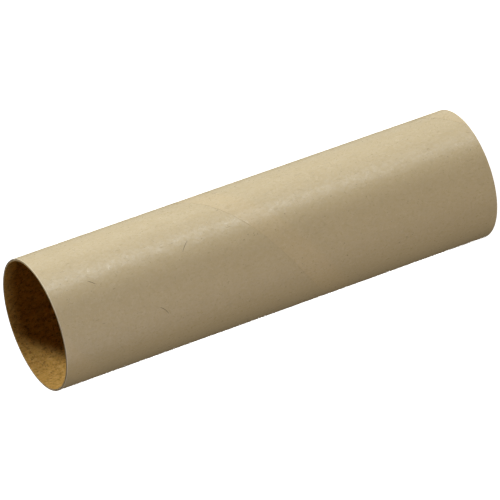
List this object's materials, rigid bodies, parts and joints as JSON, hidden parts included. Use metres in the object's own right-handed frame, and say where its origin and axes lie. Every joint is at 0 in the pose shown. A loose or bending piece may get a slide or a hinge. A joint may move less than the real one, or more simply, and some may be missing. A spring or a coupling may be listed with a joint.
{
  "type": "paper tube",
  "caption": "Short open-ended spiral-wound paper tube: a greyish-beige outer ply glued over a golden-brown kraft inner ply, each with a helical butt seam, cut square at both ends.",
  "frame": {"origin": "centre of the lower cut end, on the tube's axis, at the level of the surface it stands on", "axes": "+Z along the tube's axis; the outer seam crosses half the length on the -Y side"},
  "size_m": [0.042, 0.042, 0.15],
  "materials": {
    "beige_paper": "smooth calendered, semi-matt",
    "kraft_paper": "matt, coarse fibre"
  },
  "bodies": {
    "root": {"outer_ply": "beige_paper", "inner_ply": "kraft_paper"}
  },
  "joints": []
}
